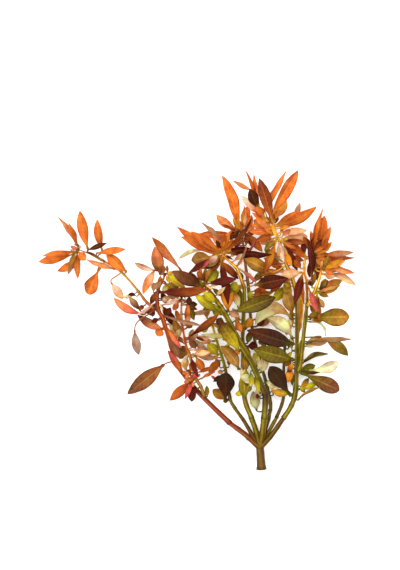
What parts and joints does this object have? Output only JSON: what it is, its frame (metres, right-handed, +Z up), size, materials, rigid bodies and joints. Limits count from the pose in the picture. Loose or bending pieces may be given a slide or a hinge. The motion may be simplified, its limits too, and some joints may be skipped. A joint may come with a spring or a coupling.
{
  "type": "ludwigia brevipes plant",
  "caption": "Bushy clump of thin branching stems with narrow orange, rust and maroon leaves, an aquarium plant as picked, lying flat on a surface.",
  "frame": {"origin": "middle of the plant's box on the surface it lies on", "axes": "+X to the plant's right, +Y from the cut end towards the shoot tips, +Z up from the surface"},
  "size_m": [0.19, 0.1796, 0.0399],
  "materials": {
    "amber_leaf": "thin satin leaf, light shows through it",
    "bark_stem": "smooth, slightly glossy fresh stem",
    "bronze_leaf": "thin satin leaf, light shows through it",
    "cream_leaf": "thin satin leaf, light shows through it",
    "crimson_leaf": "thin satin leaf, light shows through it",
    "gold_stem": "smooth, slightly glossy fresh stem",
    "green_leaf": "thin satin leaf, light shows through it",
    "green_stem": "smooth, slightly glossy fresh stem",
    "lime_leaf": "thin satin leaf, light shows through it",
    "maroon_leaf": "thin satin leaf, light shows through it",
    "mauve_leaf": "thin satin leaf, light shows through it",
    "olive_leaf": "thin satin leaf, light shows through it",
    "olive_stem": "smooth, slightly glossy fresh stem",
    "orange_leaf": "thin satin leaf, light shows through it",
    "redwood_stem": "smooth, slightly glossy fresh stem",
    "rust_leaf": "thin satin leaf, light shows through it",
    "rust_stem": "smooth, slightly glossy fresh stem",
    "salmon_leaf": "thin satin leaf, light shows through it",
    "tan_leaf": "thin satin leaf, light shows through it",
    "umber_leaf": "thin satin leaf, light shows through it"
  },
  "bodies": {
    "root": {"basal_stem": "bark_stem", "left_stem": "redwood_stem", "far_left_branch": "rust_stem", "thin_left_stem": "rust_stem", "short_left_stem": "bark_stem", "middle_left_stem": "olive_stem", "middle_stem": "green_stem", "middle_back_stem": "bark_stem", "short_back_stem": "olive_stem", "right_stem": "bark_stem", "outer_right_stem": "redwood_stem", "outer_right_branch": "gold_stem", "far_left_crown": "orange_leaf", "left_crown": "salmon_leaf", "thin_left_crown": "mauve_leaf", "lower_left_crown": "crimson_leaf", "middle_left_crown": "bronze_leaf", "middle_crown": "orange_leaf", "middle_back_crown": "rust_leaf", "right_crown": "amber_leaf", "outer_right_crown": "orange_leaf", "outer_right_branch_crown": "amber_leaf", "drooping_coral_leaf": "crimson_leaf", "far_left_spoon_leaf": "orange_leaf", "left_cross_leaf": "maroon_leaf", "left_shadow_leaf": "umber_leaf", "hanging_mauve_leaf": "mauve_leaf", "low_rust_leaf": "rust_leaf", "left_salmon_leaf": "salmon_leaf", "left_mauve_leaf": "mauve_leaf", "left_olive_leaf": "olive_leaf", "left_crimson_leaf": "crimson_leaf", "left_orange_leaf": "orange_leaf", "thin_stem_leaf": "maroon_leaf", "low_purple_leaf": "umber_leaf", "middle_olive_leaf": "olive_leaf", "middle_pale_leaf": "lime_leaf", "middle_tan_leaf": "bronze_leaf", "middle_front_leaf": "maroon_leaf", "middle_green_leaf": "green_leaf", "middle_amber_leaf": "amber_leaf", "centre_olive_leaf": "olive_leaf", "centre_bronze_leaf": "bronze_leaf", "centre_dark_leaf": "umber_leaf", "right_peach_leaf": "cream_leaf", "right_front_leaf": "maroon_leaf", "right_red_leaf": "rust_leaf", "right_orange_leaf": "orange_leaf", "long_dark_leaf": "umber_leaf", "long_olive_leaf": "olive_leaf", "right_cream_leaf": "cream_leaf", "bowed_beige_leaf": "tan_leaf", "right_tan_leaf": "bronze_leaf", "low_dark_leaf": "umber_leaf", "spoon_leaf": "olive_leaf", "edge_on_leaf": "mauve_leaf", "stalked_leaf": "olive_leaf", "low_cream_leaf": "cream_leaf", "low_brown_leaf": "bronze_leaf", "bowed_maroon_leaf": "maroon_leaf"}
  },
  "joints": []
}
